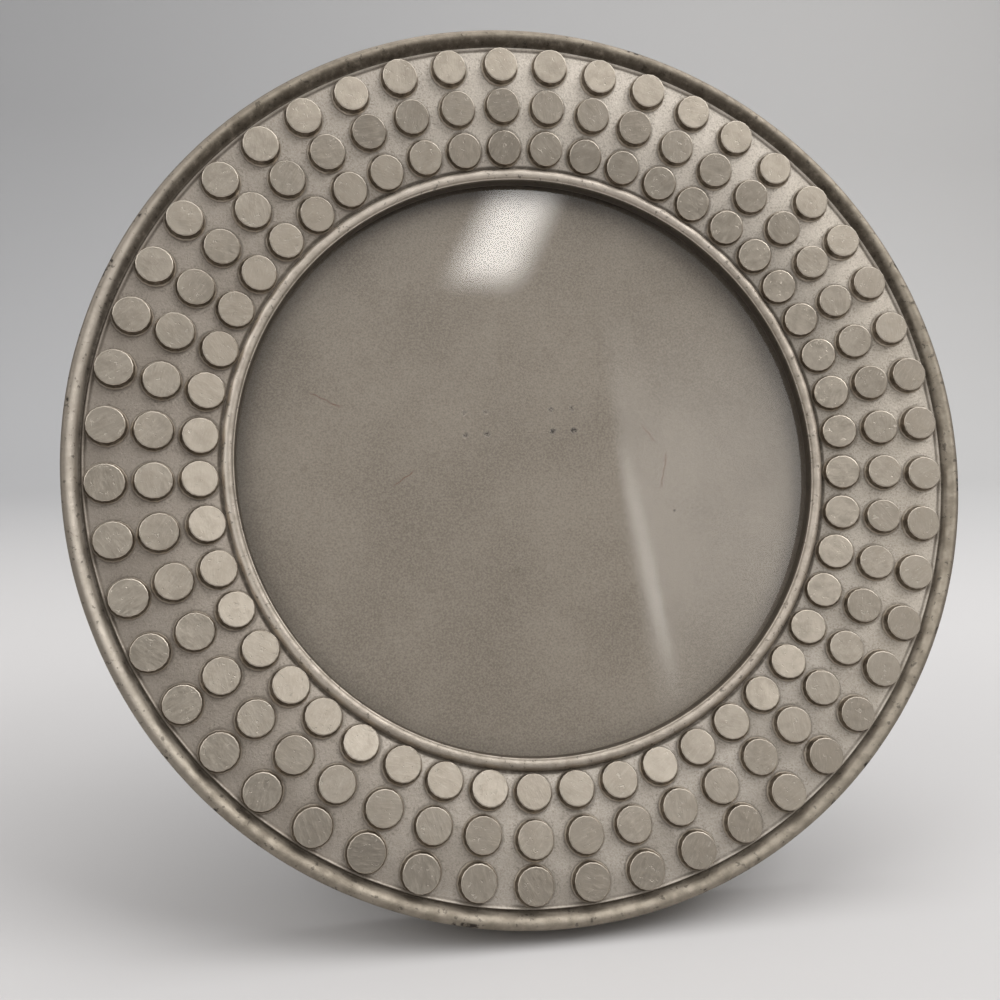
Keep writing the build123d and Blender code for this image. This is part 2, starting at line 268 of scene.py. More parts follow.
casting = {
    "steps": 288,
    "band": {"crown": 111.0, "centre": (107.94, -95.95), "radii": (70.3, 72.5, 75, 78, 81, 84, 87, 90, 92.5, 94.9)},
    "innerBead": [
        (69.9, 5.75), (69.85, 5.8), (66.35, 5.8), (66.3, 5.85), (66.3, 7.95), (66.35, 8.18), (66.48, 8.32),
        (66.64, 8.35), (66.74, 8.42), (66.79, 8.58), (66.88, 8.83), (67.1, 9.08), (67.45, 9.26), (67.9, 9.3),
        (68.35, 9.2), (68.7, 8.95), (68.95, 8.6), (69.12, 8.25), (69.3, 8.03), (69.5, 8.02), (69.8, 8.22),
    ],
    "rim": [
        (95.15, 14.33), (95.33, 14.58), (95.5, 14.83), (95.65, 14.9), (95.8, 14.83), (95.92, 14.6), (96.04, 14.4),
        (96.2, 14.34), (96.4, 14.45), (96.6, 14.78), (96.85, 15.24), (97.15, 15.68), (97.5, 16.04), (97.9, 16.29),
        (98.35, 16.42), (98.8, 16.4), (99.2, 16.22), (99.5, 15.9), (99.72, 15.45), (99.85, 14.9), (99.9, 14.2),
        (99.35, 7.0), (98.62, 0.15), (98.5, 0),
    ],
    "hollow": [
        (95.5, 0), (95.38, 0.12), (94.1, 10.2), (93.85, 10.85), (93.3, 11.1), (88, 10.3), (82, 9.05),
        (76, 7.35), (75.35, 7.0), (75.0, 6.4), (73.5, 0.12), (73.38, 0), (70.05, 0), (69.9, 0.15),
    ],
    "boss": {"circle": 76.2, "outline": [(1.15, 0), (3.85, 0), (4.0, 0.15), (4.0, 8.9), (1.15, 8.9)], "steps": 36},
    "waves": ((24.0, 0.05), (5.0, 0.022)),  # length and height of the unevenness left by casting
    "trueBelow": 3,  # the back edge stays true, because it stands on the table
    "wavesGrow": 5,  # and the waves reach their full height this much further up
    "seed": 48,  # of the waves and of the studs' small differences
    "sharp": 50,  # in degrees, where an edge stops being smooth
}
studs = {
    "rows": (91.5, 82.55, 73.6),
    "spokes": 48,
    "steps": 18,
    "outline": [(3.9, -0.7), (4.4, -0.2), (4.3, 0.12), (4.02, 0.34), (3.82, 1.78), (3.76, 1.93), (3.62, 2.0)],
    "stray": 0.2,
    "tilt": 1.5,
    "heights": (0.92, 1.03),
    "widths": (0.985, 1.02),
    "unround": {"share": 0.015, "lumps": 0.35},
    "unflat": {"height": 0.05, "lumps": 0.3},
}


def bandHeight(radius):
    centre = casting["band"]["centre"]
    return centre[1] + math.sqrt(casting["band"]["crown"] ** 2 - (centre[0] - radius) ** 2)


def bandSlope(radius):
    return math.asin((casting["band"]["centre"][0] - radius) / casting["band"]["crown"])


def uneven(bm):
    noise.seed_set(casting["seed"])
    for vert in bm.verts:
        held = min(max((vert.co.z - casting["trueBelow"]) / casting["wavesGrow"], 0), 1)
        for length, height in casting["waves"]:
            vert.co += noise.noise_vector(vert.co / length) * height * held


metal = {
    "radii": {  # where one zone of the casting fades into the next, in mm
        "sightWall": (66.62, 66.46), "beadInside": (68.2, 67.4), "beadOutside": (67.6, 68.3), "bead": (69.6, 69.2),
        "bandStart": (69.3, 70.0), "bandEnd": (95.4, 95.0), "innerRow": (79.5, 76.5), "middleRow": (88.3, 86.0),
        "outerRows": (76.5, 79.5), "leftRows": (79.0, 88.0), "outerRow": (85.0, 89.0), "rim": (95.6, 96.2),
        "rimInsideShade": (97.3, 96.7), "rimOutsideShade": (98.1, 98.8), "outerWall": (98.3, 98.6), "rimEdge": (98.5, 98.9),
        "backStart": (69.0, 69.6), "backEnd": (98.4, 98.0),
    },
    "grooves": {  # start and end, with the painted shade in the rim's groove wider at the top of the frame
        "bead": ((69.0, 69.35), (70.15, 69.7)), "ridge": ((94.8, 95.15), (95.45, 95.25)),
        "rim": ((95.75, 96.0), (96.7, 98.4), (96.3, 97.3)),
    },
    # the first is the height above which the hollows' patina and painted shade start
    "heights": {"dirt": (5.5, 6.2), "front": (7.0, 7.8), "outerWall": (15.0, 12.5), "back": (12.5, 11.5)},
    "underside": {"start": 69.4, "slope": 0.235, "height": 6.6},  # below the middle of the casting's wall
    "places": {  # parts of the face, in metres from its middle
        "top": (0.02, 0.08), "topStuds": (0.03, 0.08), "topBead": (0.035, 0.06), "topRim": (0.0, 0.07),
        "left": (0.015, -0.075), "leftStuds": (-0.05, -0.08), "leftBead": (-0.035, -0.065),
        "leftRim": (-0.065, -0.092), "right": (0.05, 0.085), "rightStuds": (0.02, 0.07), "lower": (-0.035, -0.075),
    },
    "footReach": (4.75, 4.25),  # of the dark foot and pores, from a stud's middle, in mm
    "poreReach": (6.3, 4.3),
    "brushing": (500.0, 2400.0, 600.0),  # fineness of the marks across and along a stud's top
    "band": ((0.365, 0.33, 0.286, 1), (0.455, 0.415, 0.365, 1)),
    "bandTopLight": (0.76, 0.70, 0.62, 1),
    "bandLeftShade": (0.25, 0.215, 0.18, 1),
    "bandRightLight": (0.74, 0.67, 0.57, 1),
    "bandPits": (0.30, 0.26, 0.215, 1),
    "studTop": ((0.30, 0.265, 0.22, 1), (0.40, 0.357, 0.30, 1)),
    "studTopLight": (0.52, 0.462, 0.385, 1),
    "studBlotch": (0.27, 0.235, 0.19, 1),
    "studBrush": (0.62, 0.56, 0.47, 1),
    "studNick": (0.72, 0.66, 0.57, 1),
    "studWallShade": ((0.14, 0.117, 0.09, 1), (0.28, 0.238, 0.19, 1)),
    "studFootHighlight": (0.60, 0.54, 0.465, 1),
    "studEdgeWearAndHighlight": (0.68, 0.61, 0.52, 1),
    "bead": ((0.54, 0.48, 0.41, 1), (0.43, 0.38, 0.32, 1)),
    "beadTopLight": (0.66, 0.60, 0.53, 1),
    "beadLeftLight": (0.76, 0.69, 0.60, 1),
    "rim": ((0.42, 0.37, 0.30, 1), (0.31, 0.27, 0.215, 1)),
    "rimLeft": (0.54, 0.49, 0.43, 1),
    "rimOutsideShade": (0.19, 0.162, 0.13, 1),
    "rimInsideShade": (0.22, 0.19, 0.155, 1),
    "outerWall": ((0.27, 0.235, 0.19, 1), (0.33, 0.29, 0.24, 1)),
    "back": ((0.20, 0.185, 0.165, 1), (0.33, 0.305, 0.27, 1)),
    "patinaAndShade": (0.075, 0.06, 0.045, 1),
    "worn": (0.045, 0.038, 0.032, 1),
}


def castMetal():
    radii, heights, places, grooved = metal["radii"], metal["heights"], metal["places"], metal["grooves"]
    bench = Bench("castMetal", Metallic=1.0)
    face = bench.place(**faceTurn)
    x, y, z = bench.parts(face)
    reach = bench.times(bench.length(x, y), 1000.0)
    level = bench.times(z, 1000.0)

    # how far a point is from the middle of the nearest stud
    pitch = 2 * math.pi / studs["spokes"]
    rowPitch = studs["rows"][0] - studs["rows"][1]
    rowStart = studs["rows"][-1] - rowPitch / 2
    spoke = bench.sum("FRACT", bench.sum("DIVIDE", bench.sum("ARCTAN2", y, x), pitch))
    along = bench.times(bench.less(spoke, 0.5), bench.times(reach, pitch))
    row = bench.sum("FRACT", bench.sum("DIVIDE", bench.less(reach, rowStart), rowPitch))
    across = bench.times(bench.less(row, 0.5), rowPitch)
    fromStud = bench.sum("SQRT", bench.sum("ADD", bench.times(along, along), bench.times(across, across)))

    rise, seed = bench.value("studRise"), bench.value("studSeed")
    isStud = bench.sum("GREATER_THAN", seed, 0.01)
    isPlain = bench.less(1.0, isStud)
    isTop = bench.fade(rise, 0.955, 0.99)
    onBand = bench.times(bench.fade(reach, *radii["bandStart"]), bench.fade(reach, *radii["bandEnd"]))
    onRim = bench.fade(reach, *radii["rim"])
    onBead = bench.fade(reach, *radii["bead"])
    onWall = bench.times(bench.fade(level, *heights["outerWall"]), bench.fade(reach, *radii["outerWall"]))

    cloudy = bench.grain(face, 90, 3, 0.55)
    sandy = bench.grain(face, 2300, 3, 0.75)
    coarse = bench.grain(face, 750, 3, 0.6)
    mottled = bench.grain(face, 330, 3, 0.6)
    shifted = bench.vector("ADD", face, bench.add("CombineXYZ", {0: seed, 1: seed, 2: 0.0}).outputs[0])
    spun = bench.add("VectorRotate", {"Vector": shifted, "Angle": bench.times(seed, 9.0)}, rotation_type="Z_AXIS")
    brushed = bench.grain(bench.vector("MULTIPLY", spun.outputs[0], metal["brushing"]), 1.0, 3, 0.6)
    nicked = bench.times(bench.fade(bench.grain(spun.outputs[0], 900, 2, 0.5, 1.2), 0.655, 0.7), isTop)

    # the band: painted light, brighter at the top and the right and darker to the left, with pits
    bandTone = bench.tint(bench.fade(cloudy, 0.35, 0.65), *metal["band"])
    bandTone = bench.tint(bench.times(bench.fade(y, *places["top"]), 0.66), bandTone, metal["bandTopLight"])
    bandTone = bench.tint(bench.times(bench.fade(x, *places["left"]), 0.62), bandTone, metal["bandLeftShade"])
    bandTone = bench.tint(bench.fade(x, *places["right"], 0.0, 0.32), bandTone, metal["bandRightLight"])
    bandTone = bench.tint(bench.fade(sandy, 0.45, 0.7, 0.0, 0.35), bandTone, metal["bandPits"])

    # the studs' tops: painted light, darker in the outer rows and brighter at the right, the left and the top
    topTone = bench.tint(seed, *metal["studTop"])
    topTone = bench.shade(bench.fade(reach, *radii["outerRows"]), topTone, 0.85)
    litTops = bench.most(bench.fade(reach, *radii["innerRow"]), bench.fade(reach, *radii["middleRow"], 0.0, 0.28))
    litTops = bench.times(bench.fade(x, *places["rightStuds"]), litTops)
    atLeft = bench.times(bench.fade(x, *places["leftStuds"]), bench.fade(reach, *radii["leftRows"], 0.1, 0.4))
    atTop = bench.times(bench.fade(y, *places["topStuds"]), bench.fade(reach, *radii["outerRow"], 0.0, 0.6))
    topTone = bench.tint(bench.most(bench.most(litTops, atLeft), atTop), topTone, metal["studTopLight"])
    topTone = bench.tint(bench.fade(mottled, 0.4, 0.68, 0, 0.4), topTone, metal["studBlotch"])
    topTone = bench.tint(bench.fade(brushed, 0.45, 0.75, 0, 0.2), topTone, metal["studBrush"])
    topTone = bench.tint(bench.times(nicked, 0.2), topTone, metal["studNick"])

    # the studs' walls: darker, mostly painted shade, with a painted highlight at the foot and a brighter edge that is
    # partly wear and partly painted highlight
    wallTone = bench.tint(bench.fade(coarse, 0.35, 0.7), *metal["studWallShade"])
    wallTone = bench.tint(bench.fade(rise, 0.16, 0.1), wallTone, metal["studFootHighlight"])
    wallTone = bench.tint(bench.fade(rise, 0.86, 0.92), wallTone, metal["studEdgeWearAndHighlight"])
    studTone = bench.tint(isTop, wallTone, topTone)

    # the inner bead: painted light, brighter at the top and on its outer flank at the left, with painted shade on its
    # inside at the left and at the bottom of the frame
    lower = bench.fade(y, *places["lower"])
    atLeft = bench.fade(x, *places["leftBead"])
    beadTone = bench.tint(bench.fade(mottled, 0.35, 0.7), *metal["bead"])
    beadTone = bench.tint(bench.fade(y, *places["topBead"], 0.0, 0.45), beadTone, metal["beadTopLight"])
    outside = bench.times(atLeft, bench.fade(reach, *radii["beadOutside"]))
    beadTone = bench.tint(outside, beadTone, metal["beadLeftLight"])
    beadTone = bench.shade(bench.times(atLeft, bench.fade(reach, *radii["beadInside"])), beadTone, 0.86)
    beadTone = bench.shade(lower, beadTone, 0.8)

    # the rim: painted shade on both sides of its crest, less on the outside at the bottom, and at the bottom of the
    # frame; painted light at the left; an even tone on the casting's outer wall
    rimTone = bench.tint(bench.fade(mottled, 0.35, 0.7), *metal["rim"])
    rimTone = bench.tint(bench.fade(x, *places["leftRim"], 0.0, 0.6), rimTone, metal["rimLeft"])
    outside = bench.times(bench.fade(reach, *radii["rimOutsideShade"]), bench.less(0.7, bench.times(lower, 0.55)))
    rimTone = bench.tint(outside, rimTone, metal["rimOutsideShade"])
    rimTone = bench.tint(bench.fade(reach, *radii["rimInsideShade"], 0.0, 0.45), rimTone, metal["rimInsideShade"])
    rimTone = bench.shade(lower, rimTone, 0.8)
    rimTone = bench.tint(onWall, rimTone, bench.tint(bench.fade(cloudy, 0.35, 0.65), *metal["outerWall"]))
    plainTone = bench.tint(onBead, bench.tint(onRim, bandTone, rimTone), beadTone)
    tone = bench.tint(isStud, plainTone, studTone)

    # patina and painted shade in the hollows: round the studs' feet, in the grooves beside the beads (the rim's wider
    # at the top of the frame) and in the pores
    onRing = bench.times(onBand, isPlain)
    foot = bench.times(bench.fade(fromStud, *metal["footReach"]), bench.fade(coarse, 0.25, 0.6, 0.2, 0.5), onRing)
    pores = bench.times(bench.fade(sandy, 0.5, 0.7), bench.fade(fromStud, *metal["poreReach"], 0.0, 0.45), onRing)
    beadStart, beadEnd = grooved["bead"]
    rimStart, rimEnd, rimClear = grooved["rim"]
    ridgeStart, ridgeEnd = grooved["ridge"]
    besideBead = bench.times(bench.fade(reach, *beadStart), bench.fade(reach, *beadEnd))
    rimEnd = bench.fade(y, *places["topRim"], *rimEnd)
    rimClear = bench.fade(y, *places["topRim"], *rimClear)
    besideRim = bench.times(bench.fade(reach, *rimStart), bench.fade(reach, rimEnd, rimClear))
    besideRidge = bench.times(bench.fade(reach, *ridgeStart), bench.fade(reach, *ridgeEnd, 0, 0.6))
    grooves = bench.most(bench.most(besideBead, besideRim), besideRidge)
    grooves = bench.times(grooves, bench.times(bench.fade(coarse, 0.2, 0.55, 0.45, 0.85), isPlain))
    sight = bench.times(bench.fade(reach, *radii["sightWall"]), isPlain)  # painted shade on the bead's inner wall, down to the glass
    dark = bench.most(bench.most(foot, pores), bench.most(grooves, sight))
    dark = bench.times(dark, bench.fade(level, *heights["dirt"]))
    tone = bench.tint(bench.times(dark, 0.86), tone, metal["patinaAndShade"])

    # black worn spots on the rim's outer edge, and dark specks along the beads
    blots = bench.times(bench.fade(bench.grain(face, 170, 4, 0.7), 0.59, 0.66), bench.fade(reach, *radii["rimEdge"]))
    specks = bench.times(bench.fade(coarse, 0.6, 0.68), bench.most(onRim, onBead))
    worn = bench.most(blots, bench.times(specks, 0.55))
    offWall = bench.less(1.0, bench.times(onWall, 0.85))
    worn = bench.times(worn, bench.fade(level, *heights["front"]), offWall)
    tone = bench.tint(worn, tone, metal["worn"])

    # the unfinished back
    backTone = bench.tint(bench.fade(coarse, 0.3, 0.7), *metal["back"])
    middle = bench.times(bench.less(reach, metal["underside"]["start"]), metal["underside"]["slope"])
    underside = bench.sum("LESS_THAN", level, bench.sum("ADD", middle, metal["underside"]["height"]))
    isBack = bench.times(bench.fade(level, *heights["back"]), bench.fade(reach, *radii["backEnd"]))
    isBack = bench.times(isBack, bench.times(bench.fade(reach, *radii["backStart"]), underside))
    bench.paint(bench.tint(isBack, tone, backTone))

    plainShine = bench.fade(sandy, 0.3, 0.7, 0.48, 0.66)
    shine = bench.tint(bench.most(onRim, onBead), plainShine, bench.fade(mottled, 0.3, 0.7, 0.52, 0.64))
    shine = bench.tint(onWall, shine, plainShine)
    shine = bench.tint(isStud, shine, bench.tint(isTop, grey(0.46), bench.fade(brushed, 0.3, 0.7, 0.34, 0.48)))
    shine = bench.tint(dark, shine, grey(0.75))
    bench.roughen(bench.tint(isBack, shine, grey(0.62)))

    skin = bench.sum("ADD", bench.times(sandy, 0.8), bench.times(coarse, 0.9))
    topSkin = bench.sum("ADD", bench.times(mottled, 1.1), bench.times(nicked, -0.6))
    topSkin = bench.sum("ADD", bench.times(brushed, 0.25), topSkin)
    bench.bump(bench.tint(bench.times(isStud, isTop), skin, topSkin), 0.0001, 0.85)
    return bench.material


shaken = random.Random(casting["seed"])


def makeStud(row, spoke):
    seed = shaken.uniform(0.1, 1.0)
    bm = bmesh.new()
    revolve(bm, studs["outline"], studs["steps"], closed=False)
    bmesh.ops.recalc_face_normals(bm, faces=bm.faces)
    rise = bm.verts.layers.float.new("studRise")
    ownSeed = bm.verts.layers.float.new("studSeed")
    for vert in bm.verts:
        vert[rise] = vert.co.z / studs["outline"][-1][1]
        vert[ownSeed] = seed
        lump = noise.noise(vert.co * studs["unround"]["lumps"] + Vector((row * 50, spoke * 9, 0)))
        vert.co.x *= 1 + lump * studs["unround"]["share"]
        vert.co.y *= 1 + lump * studs["unround"]["share"]
        if vert[rise] > 0.5:
            lump = noise.noise(vert.co * studs["unflat"]["lumps"] + Vector((spoke * 7, row * 31, 5)))
            vert.co.z += lump * studs["unflat"]["height"]
    for face in bm.faces:
        face.smooth = len(face.verts) == 4
    width = shaken.uniform(*studs["widths"])
    radius = studs["rows"][row] + shaken.uniform(-1, 1) * studs["stray"]
    angle = 2 * math.pi * (spoke + 0.5) / studs["spokes"] + shaken.uniform(-1, 1) * studs["stray"] / studs["rows"][row]
    place = (
        turned(angle)
        @ Matrix.Translation((radius, 0, bandHeight(radius)))
        @ turned(-bandSlope(radius), "Y")
        @ turned(math.radians(shaken.uniform(-1, 1) * studs["tilt"]), "X")
        @ turned(math.radians(shaken.uniform(-1, 1) * studs["tilt"]), "Y")
        @ Matrix.Diagonal((width, width, shaken.uniform(*studs["heights"]), 1))
    )
    bmesh.ops.transform(bm, matrix=place, verts=bm.verts)
    mesh = bpy.data.meshes.new("stud")
    bm.to_mesh(mesh)
    bm.free()
    return mesh


bm = bmesh.new()
bandProfile = [(radius, bandHeight(radius)) for radius in casting["band"]["radii"]]
revolve(bm, casting["innerBead"] + bandProfile + casting["rim"] + casting["hollow"], casting["steps"])
boss = casting["boss"]
for index in range(len(corners)):
    before = len(bm.verts)
    revolve(bm, boss["outline"], boss["steps"])
    bm.verts.ensure_lookup_table()
    place = turned(math.pi / 4 + quarter * index) @ Matrix.Translation((boss["circle"], 0, 0))
    bmesh.ops.transform(bm, matrix=place, verts=bm.verts[before:])
bmesh.ops.recalc_face_normals(bm, faces=bm.faces)
uneven(bm)
shaded(bm, casting["sharp"])
for attribute in ("studRise", "studSeed"):
    bm.verts.layers.float.new(attribute)
for row in range(len(studs["rows"])):
    for spoke in range(studs["spokes"]):
        stud = makeStud(row, spoke)
        bm.from_mesh(stud)
        bpy.data.meshes.remove(stud)
finishPiece("casting", bm, facePlace, "frame", castMetal(), "bezel")
print("casting")

# The pane

glass = {"tone": (0.985, 0.982, 0.975, 1), "film": (0.015, 0.06), "passed": (0.94, 0.94, 0.935, 1)}


def clearGlass():
    bench = Bench("clearGlass", Base_Color=glass["tone"], Roughness=0.02, IOR=1.5, Transmission_Weight=1.0)
    film = bench.grain(bench.place(**faceTurn), 28, 3, 0.6)
    bench.roughen(bench.fade(film, 0.35, 0.75, *glass["film"]))
    letThrough = bench.add("BsdfTransparent", {"Color": glass["passed"]})  # so that light reaches the lining
    shadow = bench.add("LightPath").outputs["Is Shadow Ray"]
    both = bench.add("MixShader", {0: shadow, 1: bench.skin.outputs[0], 2: letThrough.outputs[0]})
    bench.feed(bench.output.inputs["Surface"], both.outputs[0])
    return bench.material


dress("glass_pane", clearGlass())
print("glass")

# The lining behind the glass, with the dents of the staples' ends

lining = {
    "radius": 69.5,
    "steps": 192,
    "back": 3.5,
    "front": 3.8,
    "columns": {-15.4: 0.6, -10.35: 0.75, 5.1: 1.0, 10.1: 1.15},  # across, and how strong the dents are
    "lines": {6.35: 1.0, 11.6: 0.5},  # up, and how strong
    "turned": 2.4,
    "dent": {"radius": 0.8, "depth": 0.22, "oval": 1.1, "ragged": 0.3},
    "lip": {"radius": 0.96, "width": 0.16, "height": 0.04},
    "patch": {"width": 2.2, "cuts": 15},  # a finer grid round each dent
    "scratches": (  # centre, turn, length
        ((-47, 14), -25, 9), ((-30, -4), 38, 7), ((31, -3), 78, 10), ((28, 6), -50, 6),
    ),
    "scratchWidth": (0.24, 0.08),  # from its middle to where it ends, and to where it starts to fade
    "scratchStray": 0.6,
    "edge": (61.5, 67.5),  # where the painted shadow begins and where it is full
}
paper = {
    "cloud": (colour(131, 122, 110), colour(145, 136, 124)),
    "fibre": colour(170, 160, 147),
    "gap": colour(100, 90, 79),
    "blotch": colour(104, 94, 82),
    "soot": colour(58, 50, 42),
    "speck": colour(52, 42, 35),
    "scratch": colour(112, 70, 54),
    "dentDark": colour(46, 38, 34),
}


def liningPaper():
    bench = Bench("liningPaper", Specular_IOR_Level=0.25)
    face = bench.place(**faceTurn)
    fibre = bench.grain(face, 2300, 3, 0.7)
    tone = bench.tint(bench.fade(bench.grain(face, 45, 3, 0.55), 0.3, 0.7), *paper["cloud"])
    tone = bench.tint(bench.fade(fibre, 0.4, 0.7, 0, 0.5), tone, paper["fibre"])
    tone = bench.tint(bench.fade(fibre, 0.5, 0.3, 0, 0.3), tone, paper["gap"])
    tone = bench.tint(bench.fade(bench.grain(face, 330, 3, 0.6), 0.6, 0.8, 0, 0.3), tone, paper["blotch"])
    x, y = bench.parts(face)[:2]
    toEdge = bench.fade(bench.length(x, y), *(radius * mm for radius in lining["edge"]))
    soot = bench.times(toEdge, bench.fade(y, -0.05, 0.03, 0.15, 0.62))
    tone = bench.tint(soot, tone, paper["soot"])  # painted shadow of the bead towards its edge, more at the top
    tone = bench.tint(bench.times(bench.specks(face, 170.0, (0.075, 0.045), 0.07), 0.75), tone, paper["speck"])
    wide, narrow = (width * mm for width in lining["scratchWidth"])
    stray = lining["scratchStray"] * mm
    for centre, turn, length in lining["scratches"]:
        middle = {"Location": (centre[0] * mm, centre[1] * mm, 0), "Rotation": (0, 0, math.radians(turn))}
        mark = bench.add("Mapping", {"Vector": face, **middle}, vector_type="TEXTURE").outputs[0]
        run, off = bench.parts(mark)[:2]
        off = bench.sum("ADD", off, bench.fade(bench.grain(mark, 260, 1), 0.2, 0.8, -stray, stray))
        inRun = bench.fade(bench.sum("ABSOLUTE", run), length * mm / 2, length * mm / 4)
        line = bench.times(bench.fade(bench.sum("ABSOLUTE", off), wide, narrow), inRun)
        tone = bench.tint(bench.times(line, bench.fade(fibre, 0.35, 0.6, 0.15, 0.7)), tone, paper["scratch"])
    # darker in the dents' middles
    bench.paint(bench.tint(bench.value("dentDark"), tone, paper["dentDark"]))
    bench.roughen(bench.fade(fibre, 0.2, 0.8, 0.75, 0.92))
    bench.bump(fibre, 0.00006, 0.6)
    return bench.material


def nearest(value, places):
    return min(places, key=lambda place: abs(place - value))


dent, lip, patch = lining["dent"], lining["lip"], lining["patch"]
bm = bmesh.new()
bmesh.ops.create_circle(bm, cap_ends=True, segments=lining["steps"], radius=lining["radius"])
for column in lining["columns"]:
    for side in (-patch["width"] / 2, patch["width"] / 2):
        sliced(bm, (column + side, 0, 0), (1, 0, 0))
for line in lining["lines"]:
    for side in (-patch["width"] / 2, patch["width"] / 2):
        sliced(bm, (0, line + side, 0), (0, 1, 0))
patchEdges = []
for face in bm.faces:
    centre = face.calc_center_median()
    column, line = nearest(centre.x, lining["columns"]), nearest(centre.y, lining["lines"])
    if max(abs(centre.x - column), abs(centre.y - line)) < patch["width"] / 4:
        patchEdges.extend(face.edges)
bmesh.ops.subdivide_edges(bm, edges=list(dict.fromkeys(patchEdges)), cuts=patch["cuts"], use_grid_fill=True)
# how dark each dent's middle is painted
dentDark = bm.verts.layers.float.new("dentDark")
for vert in bm.verts:
    column, line = nearest(vert.co.x, lining["columns"]), nearest(vert.co.y, lining["lines"])
    strength = lining["columns"][column] * lining["lines"][line]
    gap = math.hypot(vert.co.x - column, (vert.co.y - line) * dent["oval"])
    gap += noise.noise(vert.co * 2.6) * dent["ragged"]
    sunk = max(0.0, 1 - (gap / dent["radius"]) ** 2) * strength
    vert[dentDark] = min(1.0, max(0.0, sunk * (0.9 + 2.2 * noise.noise(vert.co * 3.4 + Vector((3, 1, 7))))))
    raised = max(0.0, 1 - abs(gap - lip["radius"]) / lip["width"]) * lip["height"] * strength
    vert.co.z += raised * (1 + noise.noise(vert.co * 4)) - sunk * dent["depth"] * (1 + 0.5 * noise.noise(vert.co * 6))
rimEdges = [edge for edge in bm.edges if edge.is_boundary]
walls = bmesh.ops.extrude_edge_only(bm, edges=rimEdges)["geom"]
bmesh.ops.translate(bm, vec=(0, 0, lining["back"] - lining["front"]), verts=only(walls, bmesh.types.BMVert))
openEdges = [edge for edge in only(walls, bmesh.types.BMEdge) if edge.is_boundary]
bmesh.ops.contextual_create(bm, geom=openEdges)
bmesh.ops.translate(bm, vec=(0, 0, lining["front"]), verts=bm.verts)
turn = Matrix.Rotation(math.radians(lining["turned"]), 3, "Z")
bmesh.ops.rotate(bm, cent=(0, 0, 0), matrix=turn, verts=bm.verts)
for face in bm.faces:
    face.smooth = face.calc_area() < 0.1  # only the patches round the dents
finishPiece("lining", bm, facePlace, "frame", liningPaper(), "front_lining")
print("lining")

# Board, flocked covers and the raw edge at the leg's foot

board = {
    "plies": (300.0, 4200.0, 300.0),  # fineness of its layers
    "ply": (colour(134, 118, 98), colour(168, 152, 130)),
    "fibre": colour(96, 84, 70),
}
flock = {
    "stroke": (colour(25, 25, 27), colour(47, 47, 50)),
    "nap": colour(76, 76, 80),
    "lint": colour(150, 148, 142),
    "sheen": (0.5, 0.5, 0.52, 1),
    "edge": (0.35, 3),  # rounding of the leg cover's edges in mm, and its steps
}


def greyBoard():
    bench = Bench("greyBoard", Specular_IOR_Level=0.2)
    place = bench.object()
    layers = bench.grain(bench.vector("MULTIPLY", place, board["plies"]), 1.0, 3, 0.6)
    fibre = bench.grain(place, 1300, 4, 0.7)
    tone = bench.tint(bench.fade(layers, 0.35, 0.65), *board["ply"])
    bench.paint(bench.tint(bench.fade(fibre, 0.55, 0.8, 0, 0.5), tone, board["fibre"]))
    bench.roughen(bench.fade(fibre, 0.2, 0.8, 0.8, 0.95))
    bench.bump(bench.sum("ADD", layers, fibre), 0.0001, 0.6)
    return bench.material


def blackFlock():
    bench = Bench(
        "blackFlock", Specular_IOR_Level=0.15, Sheen_Weight=0.6, Sheen_Roughness=0.4, Sheen_Tint=flock["sheen"]
    )
    place = bench.object()
    nap = bench.grain(place, 1900, 4, 0.75)
    stroke = bench.grain(place, 38, 3, 0.6, 0.6)
    tone = bench.tint(bench.fade(stroke, 0.35, 0.65), *flock["stroke"])
    tone = bench.tint(bench.fade(nap, 0.45, 0.7, 0, 0.75), tone, flock["nap"])
    lint = bench.specks(place, 150.0, (0.06, 0.03), 0.07)
    bench.paint(bench.tint(bench.times(lint, 0.7), tone, flock["lint"]))
    bench.roughen(bench.fade(nap, 0.3, 0.7, 0.85, 1.0))
    bench.bump(nap, 0.0003, 1.0)
    return bench.material


boardSkin, flockSkin = greyBoard(), blackFlock()
dress("backing_board", boardSkin)
dress("board_cover", flockSkin)
dress("leg_board", boardSkin)
legCover = softened("leg_cover", *flock["edge"])
finishPiece("legCover", legCover, Matrix.Identity(4), "easel_leg", flockSkin, "leg_cover")
print("boards")

# Hinge, staples, screws and turn buttons

steel = {"drawing": (90.0, 3000.0, 3000.0), "stain": (0.16, 0.12, 0.085, 1)}
oxide = {"black": ((0.028, 0.028, 0.031, 1), (0.062, 0.058, 0.055, 1)), "worn": (0.3, 0.28, 0.26, 1)}


def brushedSteel(name, light, dark, roughness, stain):
    bench = Bench(name, Metallic=1.0)
    place = bench.object()
    drawn = bench.grain(bench.vector("MULTIPLY", place, steel["drawing"]), 1.0, 3, 0.6)
    cloud = bench.grain(place, 260, 4, 0.6)
    tone = bench.tint(bench.fade(drawn, 0.3, 0.7), dark, light)
    bench.paint(bench.tint(bench.fade(cloud, 0.58, 0.74, 0, stain), tone, steel["stain"]))
    bench.roughen(bench.fade(bench.sum("ADD", drawn, cloud), 0.6, 1.4, roughness, roughness + 0.18))
    bench.bump(drawn, 0.00003, 0.5)
    return bench.material


